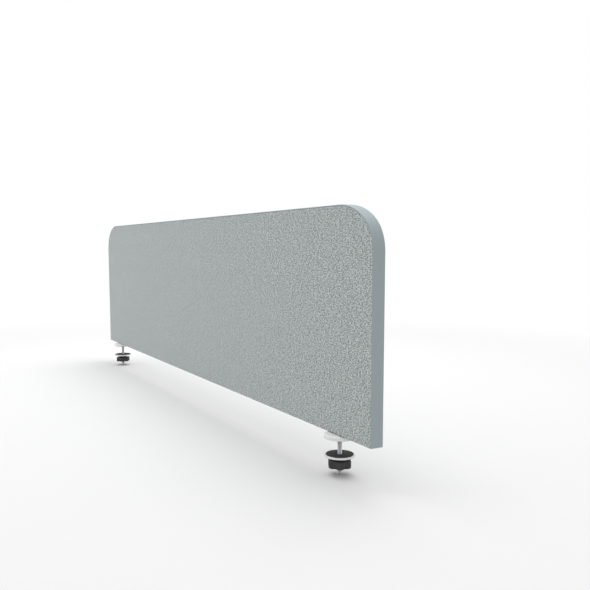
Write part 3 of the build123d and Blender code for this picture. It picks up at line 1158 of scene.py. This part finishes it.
@dataclass(frozen=True)
class SoftCore:
    """The foam linings under the covers and the felted infill in the frame's bays."""

    workshop: Workshop
    outline: Outline
    foam_edge: float = 0.8 * MM
    foam_bumps: float = 0.12 * MM
    foam_fill: float = 0.9
    foam_pitch: float = 12.0 * MM
    felt_edge: float = 1.5 * MM
    felt_bumps: float = 0.3 * MM
    felt_fill: float = 0.7
    felt_gap: float = 0.2 * MM
    felt_grid: tuple[int, int] = (40, 26)

    def lining(self, side: Side) -> Filling:
        """The foam on one face, as large as its CAD slab.

        Args:
            side: the face.

        Returns:
            The filling.
        """
        node = f"{side.word}_foam"
        low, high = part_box(node)
        inset = self.outline.half_length - high.x + self.foam_edge
        raise_low = low.z - self.outline.low + self.foam_edge
        field = self.outline.field(inset, raise_low, self.foam_pitch)
        return Filling(self.workshop, f"{side.word}_lining_foam", node, "foam", FOAM, field, self.foam_edge,
                       self.foam_bumps, self.foam_fill)

    def infill(self, bay: Bay) -> Filling:
        """The infill in one bay. An outer bay's top edge slopes down where the corner block's brace is.

        Args:
            bay: the bay.

        Returns:
            The filling.
        """
        node = f"{bay.value}_infill"
        low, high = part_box(node)
        edge = self.felt_edge
        columns, rows = self.felt_grid
        x = np.linspace(low.x + edge, high.x - edge, columns)
        top = np.full_like(x, high.z - edge)
        if bay is not Bay.MIDDLE:
            brace_low, brace_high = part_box(f"{bay.value}_corner_block")
            reach = brace_high.x - brace_low.x - (brace_high.z - high.z)
            outer = high.x if bay is Bay.NEAR else -low.x
            top -= np.clip(np.abs(x) - (outer - reach) + edge, 0.0, None)
        field = Field(x, low.z + edge, top, rows)
        return Filling(self.workshop, f"{bay.value}_felt_infill", node, "infill", FELT, field, edge,
                       self.felt_bumps, self.felt_fill, self.felt_gap)

    def build(self) -> None:
        """Makes both linings and the infill in the three bays."""
        for filling in (*map(self.lining, Side), *map(self.infill, Bay)):
            filling.build()


@dataclass(frozen=True)
class Frame:
    """The timber frame, its dowels, the hems' staples and the bottom strips."""

    workshop: Workshop
    strip_edge: float = 0.35 * MM
    strip_edge_steps: int = 4
    strip_pitch: float = 40.0 * MM
    channel_share: float = 0.78
    channel_depth: float = 0.8 * MM
    end_boards: tuple[str, ...] = ("end_stile", "middle_stile", "corner_block")

    def strip(self, bay: Bay) -> None:
        """Makes one bottom strip: a rounded band with a channel over the staples, carried along X.

        Args:
            bay: the bay that it closes.
        """
        node = f"{bay.value}_bottom_strip"
        low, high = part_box(node)
        half, depth = (high.y - low.y) / 2, high.z - low.z
        radius = self.strip_edge
        edge = arc((half - radius, radius), radius, -90.0, 0.0, self.strip_edge_steps)
        lip, floor = half * self.channel_share, depth - self.channel_depth
        channel = [(half, depth), (lip, depth), (lip, floor), (0.0, floor)]
        profile = mirrored(np.concatenate([[(0.0, 0.0)], edge, channel]))
        x = np.linspace(low.x, high.x, max(2, math.ceil((high.x - low.x) / self.strip_pitch)))
        band = sweep(profile, merged(x, low.z), np.tile((0.0, -1.0), (len(x), 1)))
        piece = band.build(f"{bay.value}_closing_strip")
        self.workshop.dress(piece, STRIP)
        fit_piece(piece, "screen", "bottom_strip", node)

    def build(self) -> None:
        """Dresses the frame and makes the strips."""
        boards = [f"{end.value}_{board}" for end in End for board in self.end_boards]
        for node in ("top_rail", "bottom_rail", *boards):
            self.workshop.dress(NODES[node], BOARD)
        self.workshop.dress(NODES["frame_dowels"], BEECH)
        self.workshop.dress(NODES["cover_staples"], STAPLE)
        for bay in Bay:
            self.strip(bay)


# The brackets


@dataclass(frozen=True)
class Seat:
    """Where a bracket's CAD node stands: its lowest and highest corners, and the stud's (x, y) axis."""

    low: Vector
    high: Vector
    axis: tuple[float, float]

    @property
    def radius(self) -> float:
        """Half the node's width."""
        return (self.high.y - self.low.y) / 2


class Part:
    """A piece of the bracket, worked out round the stud's axis."""

    def surface(self, seat: Seat) -> Surface:
        """The piece's surface at its seat."""
        raise NotImplementedError


@dataclass(frozen=True)
class Disc(Part):
    """A coated disc. Its crown is a quarter of a superellipse. The foot's crown is on top, with a recess for
    the jam nut, and the jaw's is below."""

    foot: bool
    bore: float = 4.15 * MM
    bore_edge: float = 0.2 * MM
    rim: float = 0.5 * MM
    crown_width: float = 3.4 * MM
    crown_height: float = 3.0 * MM
    crown_power: float = 2.4
    recess: float = 8.5 * MM
    recess_depth: float = 3.5 * MM
    rim_steps: int = 5
    crown_steps: int = 12
    face_steps: int = 8

    def surface(self, seat: Seat) -> Surface:
        """The section goes from the bore over the plain face, the rim, the crown and the crowned face to the
        recess. The crown's width and height are multiplied by one less the power 2 / crown_power of the
        cosine and sine of an angle.

        Args:
            seat: the node's place.

        Returns:
            The surface.
        """
        thickness = seat.high.z - seat.low.z
        turn, power = quarter(self.crown_steps), 2 / self.crown_power
        crown = merged(seat.radius - self.crown_width * (1.0 - np.cos(turn) ** power),
                       thickness - self.crown_height * (1.0 - np.sin(turn) ** power))
        rim = arc((seat.radius - self.rim, self.rim), self.rim, -90.0, 0.0, self.rim_steps)
        mouth = self.recess if self.foot else self.bore
        inward = np.linspace(seat.radius - self.crown_width, mouth + self.rim, self.face_steps)[1:]
        sides = [[(self.bore, self.bore_edge), (self.bore + self.bore_edge, 0.0)], rim, crown,
                 merged(inward, thickness), [(mouth, thickness - self.rim)]]
        if self.foot:
            floor = thickness - self.recess_depth
            sides.append([(mouth, floor), (self.bore, floor)])
        profile = np.concatenate(sides)
        profile[:, 1] = seat.low.z + profile[:, 1] if self.foot else seat.high.z - profile[:, 1]
        return turned(profile, seat.axis)


@dataclass(frozen=True)
class Pad(Part):
    """A rubber pad with rounded edges and shallow rings in both faces."""

    bore: float = 5.0 * MM
    edge: float = 0.25 * MM
    groove: float = 0.12 * MM
    grooves: int = 10
    groove_steps: int = 6

    def surface(self, seat: Seat) -> Surface:
        """The rings are a cosine wave along the radius.

        Args:
            seat: the node's place.

        Returns:
            The surface.
        """
        low, high, outside = seat.low.z, seat.high.z, seat.radius
        steps = 1 + self.grooves * self.groove_steps
        rings = np.linspace(self.bore + self.edge, outside - self.edge, steps)
        dip = self.groove * (0.5 - 0.5 * np.cos(np.linspace(0.0, 2 * np.pi * self.grooves, steps)))
        return turned(np.concatenate([
            merged(rings, low + dip),
            [(outside, low + self.edge), (outside, high - self.edge)],
            merged(rings, high - dip)[::-1],
            [(self.bore, high - self.edge), (self.bore, low + self.edge)],
        ]), seat.axis)


@dataclass(frozen=True)
class Washer(Part):
    """A punched washer: rounded on one side and square on the other."""

    bore: float = 4.2 * MM
    edge: float = 0.35 * MM
    edge_steps: int = 5

    def surface(self, seat: Seat) -> Surface:
        """Two quarter rounds join the upper face to the rim and the bore.

        Args:
            seat: the node's place.

        Returns:
            The surface.
        """
        low, top = seat.low.z, seat.high.z - self.edge
        outer = arc((seat.radius - self.edge, top), self.edge, 0.0, 90.0, self.edge_steps)
        inner = arc((self.bore + self.edge, top), self.edge, 90.0, 180.0, self.edge_steps)
        return turned(np.concatenate([[(self.bore, low), (seat.radius, low)], outer, inner]), seat.axis)


@dataclass(frozen=True)
class JamNut(Part):
    """The jam nut, with its corners and its bore chamfered."""

    to_flat: float = 6.5 * MM
    bore: float = 4.1 * MM
    chamfer: float = 0.6 * MM
    angles: int = 96

    def surface(self, seat: Seat) -> Surface:
        """At each height the radius is the lesser of the hexagon's and the chamfer's cone, which is drawn in
        by two chamfers at the faces.

        Args:
            seat: the node's place.

        Returns:
            The surface.
        """
        low, high, bore, chamfer = seat.low.z, seat.high.z, self.bore, self.chamfer
        hexagon = self.to_flat / np.cos(from_spoke(round_angles(self.angles), 6))
        cone = hexagon.max() - np.array([2.0, 1.0, 0.0, 0.0, 1.0, 2.0]) * chamfer
        inside = np.repeat(np.array([[bore + chamfer], [bore], [bore], [bore + chamfer]]), self.angles, 1)
        heights = np.array([low, low + chamfer / 2, low + chamfer, high - chamfer, high - chamfer / 2, high,
                            high, high - chamfer, low + chamfer, low])
        return lathe(heights, np.concatenate([np.minimum(hexagon, cone[:, None]), inside]), seat.axis)


@dataclass(frozen=True)
class Stud(Part):
    """The threaded stud, chamfered at both ends, with a hexagon socket in its lower one."""

    pitch: float = 1.25 * MM
    depth: float = 0.68 * MM
    slope: float = 1.25
    root: float = 0.05
    chamfer: float = 0.9 * MM
    socket: float = 2.0 * MM
    socket_depth: float = 5.0 * MM
    angles: int = 36
    turn_steps: int = 8

    def surface(self, seat: Seat) -> Surface:
        """The thread is a saw tooth of how far round it each point is, cut flat at its crest and root, so
        one ridge winds up the stud.

        Args:
            seat: the node's place.

        Returns:
            The surface.
        """
        low, high = seat.low.z, seat.high.z
        angle = round_angles(self.angles)
        heights = np.linspace(low, high, 1 + math.ceil((high - low) / self.pitch * self.turn_steps))
        turn = thread_turn(heights, angle, self.pitch)
        tooth = np.clip(self.slope * np.abs(2.0 * turn - 1.0) - self.root, 0.0, 1.0)
        to_end = np.minimum(heights - low, high - heights)[:, None]
        limit = seat.radius - self.chamfer + np.minimum(to_end, self.chamfer)
        wall = np.minimum(seat.radius - self.depth * (1.0 - tooth), limit)
        hexagon = self.socket / np.cos(from_spoke(angle, 6))
        levels = np.concatenate([[low + self.socket_depth, low], heights])
        return lathe(levels, np.concatenate([[hexagon, hexagon], wall]), seat.axis, hollow=False)


@dataclass(frozen=True)
class PlateScrews(Part):
    """The plate's two wood screws. Each has a cross recess that narrows towards its floor, a countersunk
    head, a plain neck, and a thread with a narrow crest that fades in past the neck and out at the tip."""

    head: float = 4.0 * MM
    head_height: float = 2.2 * MM
    head_edge: float = 0.1 * MM
    arm_half: float = 0.45 * MM
    arm_reach: float = 2.1 * MM
    recess_depth: float = 1.1 * MM
    recess_floor: float = 0.75
    neck: float = 2.0 * MM
    shank: float = 2.0 * MM
    pitch: float = 1.8 * MM
    depth: float = 0.6 * MM
    crest_power: int = 3
    tip: float = 0.3 * MM
    tip_length: float = 4.0 * MM
    angles: int = 64
    turn_steps: int = 12

    def surface(self, seat: Seat) -> Surface:
        """The cross's radius is the lesser of an arm's length and its half width over the sine of the angle
        from the nearest arm. The thread is cut by one less a power of a saw tooth.

        Args:
            seat: the node's place.

        Returns:
            The surface of both screws.
        """
        low, high, edge = seat.low, seat.high, self.head_edge
        angle = round_angles(self.angles)
        from_arm = np.abs(from_spoke(angle, 4))
        side = self.arm_half / np.maximum(np.sin(from_arm), TINY)
        cross = np.minimum(self.arm_reach / np.cos(from_arm), side)
        start = low.z + self.head_height
        heights = np.linspace(start, high.z, 1 + math.ceil((high.z - start) / self.pitch * self.turn_steps))
        outer = np.interp(heights, [high.z - self.tip_length, high.z], [self.shank, self.tip])[:, None]
        fade = np.interp(heights, [start + self.neck, start + self.neck + self.pitch], [0.0, 1.0])[:, None]
        tooth = np.abs(2.0 * thread_turn(heights, angle, self.pitch) - 1.0)
        wall = outer - self.depth * fade * outer / self.shank * (1.0 - tooth ** self.crest_power)
        face = [self.recess_floor * cross, cross, np.full_like(angle, self.head - 2 * edge),
                np.full_like(angle, self.head - edge)]
        levels = np.concatenate([[low.z + self.recess_depth, low.z, low.z, low.z + edge], heights])
        surface = Surface()
        for x in (low.x + self.head, high.x - self.head):
            lathe(levels, np.concatenate([face, wall]), (x, seat.axis[1]), hollow=False, surface=surface)
        return surface


@dataclass(frozen=True)
class Knob(Part):
    """The hand knob: a hub on top, a lobed grip with rounded edges, and a recess round the bush below. The
    recess is given as the height and radius of each of its rings."""

    bush: float
    bush_sunk: float = 0.2 * MM
    hub: float = 11.0 * MM
    hub_height: float = 4.0 * MM
    hub_edge: float = 0.6 * MM
    fillet: float = 1.0 * MM
    lobes: int = 6
    scallop: float = 4.0 * MM
    scallop_power: float = 1.4
    edge: float = 2.0 * MM
    edge_steps: int = 7
    recess_mm: tuple[tuple[float, float], ...] = ((0.0, 13.5), (1.2, 13.0), (1.2, 8.2), (0.2, 7.6))
    angles: int = 144

    def surface(self, seat: Seat) -> Surface:
        """The grip's radius at each angle is the full radius less a scallop that repeats for each lobe, and
        each edge and fillet is a quarter round.

        Args:
            seat: the node's place.

        Returns:
            The surface.
        """
        low, high = seat.low.z, seat.high.z
        grip_top = high - self.hub_height
        turn = quarter(self.edge_steps)
        rise, run = 1.0 - np.sin(turn), 1.0 - np.cos(turn)
        wave = 0.5 + 0.5 * np.cos(self.lobes * round_angles(self.angles))
        grip = seat.radius - self.scallop * wave ** self.scallop_power - self.edge * run[:, None]
        recess = np.array(self.recess_mm) * MM
        bands = (
            (np.array([high]), self.bush),
            ((high - self.hub_edge * rise)[::-1], (self.hub - self.hub_edge * run)[::-1, None]),
            ((grip_top + self.fillet * rise)[:-1], (self.hub + self.fillet * run)[:-1, None]),
            ((grip_top - self.edge * rise)[::-1], grip[::-1]),
            (low + self.edge * rise, grip),
            (low + recess[:, 0], recess[:, 1:]),
            (np.array([low + self.bush_sunk]), self.bush),
        )
        radii = [np.broadcast_to(radius, (len(heights), self.angles)) for heights, radius in bands]
        return lathe(np.concatenate([heights for heights, _ in bands]), np.concatenate(radii), seat.axis)


@dataclass(frozen=True)
class Bush(Part):
    """The knob's brass bush, chamfered at both mouths, with the keying groove round its middle."""

    bore: float = 4.05 * MM
    chamfer: float = 0.5 * MM
    clearance: float = 0.05 * MM
    groove: float = 0.5 * MM
    groove_half: float = 1.0 * MM

    def surface(self, seat: Seat) -> Surface:
        """The section goes up the outside, over the groove, and back down the bore.

        Args:
            seat: the node's place.

        Returns:
            The surface.
        """
        low, high, mouth = seat.low.z, seat.high.z, self.bore + self.chamfer
        middle, wall, floor = (low + high) / 2, seat.radius - self.clearance, seat.radius - self.groove
        below, above = middle - self.groove_half, middle + self.groove_half
        return turned(np.array([
            (mouth, low), (wall, low), (wall, below), (floor, below), (floor, above), (wall, above),
            (wall, high), (mouth, high), (self.bore, high - self.chamfer), (self.bore, low + self.chamfer),
        ]), seat.axis)


@dataclass(frozen=True)
class Bracket:
    """The bracket at one end: disc foot, stud, and the clamp below the desktop."""

    workshop: Workshop
    end: End

    def seat(self, node: str) -> Seat:
        """Where one of the bracket's nodes stands."""
        low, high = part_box(f"{self.end.value}_stud")
        return Seat(*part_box(f"{self.end.value}_{node}"), ((low.x + high.x) / 2, (low.y + high.y) / 2))

    def build(self) -> None:
        """Makes the turned and moulded pieces, and dresses the plate and the boss in the rail."""
        end = self.end.value
        jaw, knob = f"{end}_jaw", f"{end}_knob"
        for part, node, name, body, slot, finish in (
            (Disc(foot=True), "foot_disc", "white_foot_disc", "screen", "white_steel", WHITE),
            (Disc(foot=False), "jaw_disc", "white_jaw_disc", jaw, "white_steel", WHITE),
            (Pad(), "foot_pad", "foot_grip_pad", "screen", "grip_pad", RUBBER),
            (Pad(), "jaw_pad", "jaw_grip_pad", jaw, "grip_pad", RUBBER),
            (Washer(), "seat_washer", "plain_seat_washer", "screen", "zinc_steel", ZINC),
            (Washer(), "thrust_washer", "plain_thrust_washer", jaw, "zinc_steel", ZINC),
            (JamNut(), "jam_nut", "hexagon_jam_nut", "screen", "zinc_steel", ZINC),
            (Stud(), "stud", "threaded_stud", "screen", "zinc_steel", TURNED_ZINC),
            (Knob(self.seat("knob_bush").radius), "hand_knob", "lobed_hand_knob", knob, "knob", NYLON),
            (Bush(), "knob_bush", "brass_bush", knob, "bush", BRASS),
            (PlateScrews(), "plate_screws", "cross_head_screws", "screen", "zinc_steel", TURNED_ZINC),
        ):
            piece = part.surface(self.seat(node)).build(f"{end}_{name}")
            self.workshop.dress(piece, finish)
            fit_piece(piece, body, slot, f"{end}_{node}")
        for node in ("fixing_plate", "threaded_boss"):
            self.workshop.dress(NODES[f"{end}_{node}"], ZINC)


# The studio


@dataclass(frozen=True)
class Studio:
    """The floor, the lamp, the white surround and the camera. Names that end in _px are in the picture's
    pixels, and the eye, right and down are where a fit of the screen's edges puts the camera."""

    floor_z: float = -66.0 * MM
    floor_half: float = 9.0
    floor_steps: int = 5
    surround: float = 0.78
    white: Colour = (1.0, 1.0, 1.0)
    lamp_at: Triple = (-0.45, 0.2, 3.2)
    lamp_aim: Triple = (-0.2, 0.0, 0.2)
    lamp_width: float = 3.0
    lamp_watts: float = 90.0
    focal_px: float = 714.71
    centre_px: tuple[float, float] = (289.49, 321.46)
    image_px: float = 590.0
    sensor_mm: float = 36.0
    clip: tuple[float, float] = (0.05, 50.0)
    eye: Triple = (1.73243, -0.67859, 0.33649)
    right: Triple = (0.48323, 0.87549, -0.00013)
    down: Triple = (0.08977, -0.04970, -0.99472)

    @staticmethod
    def seen_ray(shader: Shader) -> Wire:
        """1 for rays from the camera, a mirror or glass, and 0 for the rest."""
        paths = shader.node("ShaderNodeLightPath").socket.node.outputs
        rays = [Wire(shader, paths[f"Is {kind} Ray"]) for kind in ("Camera", "Glossy", "Transmission")]
        return rays[0].greatest(rays[1]).greatest(rays[2])

    def floor(self) -> None:
        """A square floor just below the studs."""
        across = np.linspace(-self.floor_half, self.floor_half, self.floor_steps)
        surface = Surface()
        surface.add_grid(surface.add_points(merged(*np.meshgrid(across, across), self.floor_z)))
        piece = surface.build("studio_floor")
        piece.data.materials.append(StudioFloor().build())

    def world(self) -> None:
        """An even surround, white to the camera and dimmer as a light."""
        shader = Shader(bpy.data.worlds.new("surround"))
        strength = Studio.seen_ray(shader) * (1.0 - self.surround) + self.surround
        inputs = {"Color": (*self.white, 1.0), "Strength": strength}
        light = shader.node("ShaderNodeBackground", inputs=inputs)
        shader.node("ShaderNodeOutputWorld", inputs={"Surface": light})
        bpy.context.scene.world = shader.owner

    def lamp(self) -> None:
        """A square soft white lamp overhead."""
        data = bpy.data.lights.new("overhead", "AREA")
        data.shape, data.size, data.energy = "SQUARE", self.lamp_width, self.lamp_watts
        at = Vector(self.lamp_at)
        turn = (Vector(self.lamp_aim) - at).to_track_quat("-Z", "Y").to_matrix().to_4x4()
        lamp = bpy.data.objects.new("overhead", data)
        lamp.matrix_world = Matrix.Translation(at) @ turn
        bpy.context.scene.collection.objects.link(lamp)

    def camera(self) -> None:
        """The camera, with the picture's off-centre framing as shift."""
        data = bpy.data.cameras.new("camera")
        data.sensor_width = self.sensor_mm
        data.lens = self.sensor_mm * self.focal_px / self.image_px
        data.shift_x = (self.image_px / 2 - self.centre_px[0]) / self.image_px
        data.shift_y = (self.centre_px[1] - self.image_px / 2) / self.image_px
        data.clip_start, data.clip_end = self.clip
        right, up = Vector(self.right).normalized(), -Vector(self.down).normalized()
        turn = Matrix((right, up, right.cross(up))).transposed().to_4x4()
        camera = bpy.data.objects.new("camera", data)
        camera.matrix_world = Matrix.Translation(self.eye) @ turn
        bpy.context.scene.collection.objects.link(camera)
        bpy.context.scene.camera = camera

    def build(self) -> None:
        """Makes the studio."""
        self.floor()
        self.world()
        self.lamp()
        self.camera()
        bpy.context.scene.view_settings.view_transform = "Standard"


def main() -> None:
    logging.basicConfig(level=logging.INFO, format="%(message)s")
    Studio().build()
    workshop = Workshop()
    low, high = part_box("edge_trim")
    outline = Outline(high.x, low.z, high.z)
    EdgeTrim(workshop, outline).build()
    SoftCore(workshop, outline).build()
    for side in Side:
        Cover(workshop, outline, side).build()
    Frame(workshop).build()
    for end in End:
        Bracket(workshop, end).build()


if __name__ == "__main__":
    main()
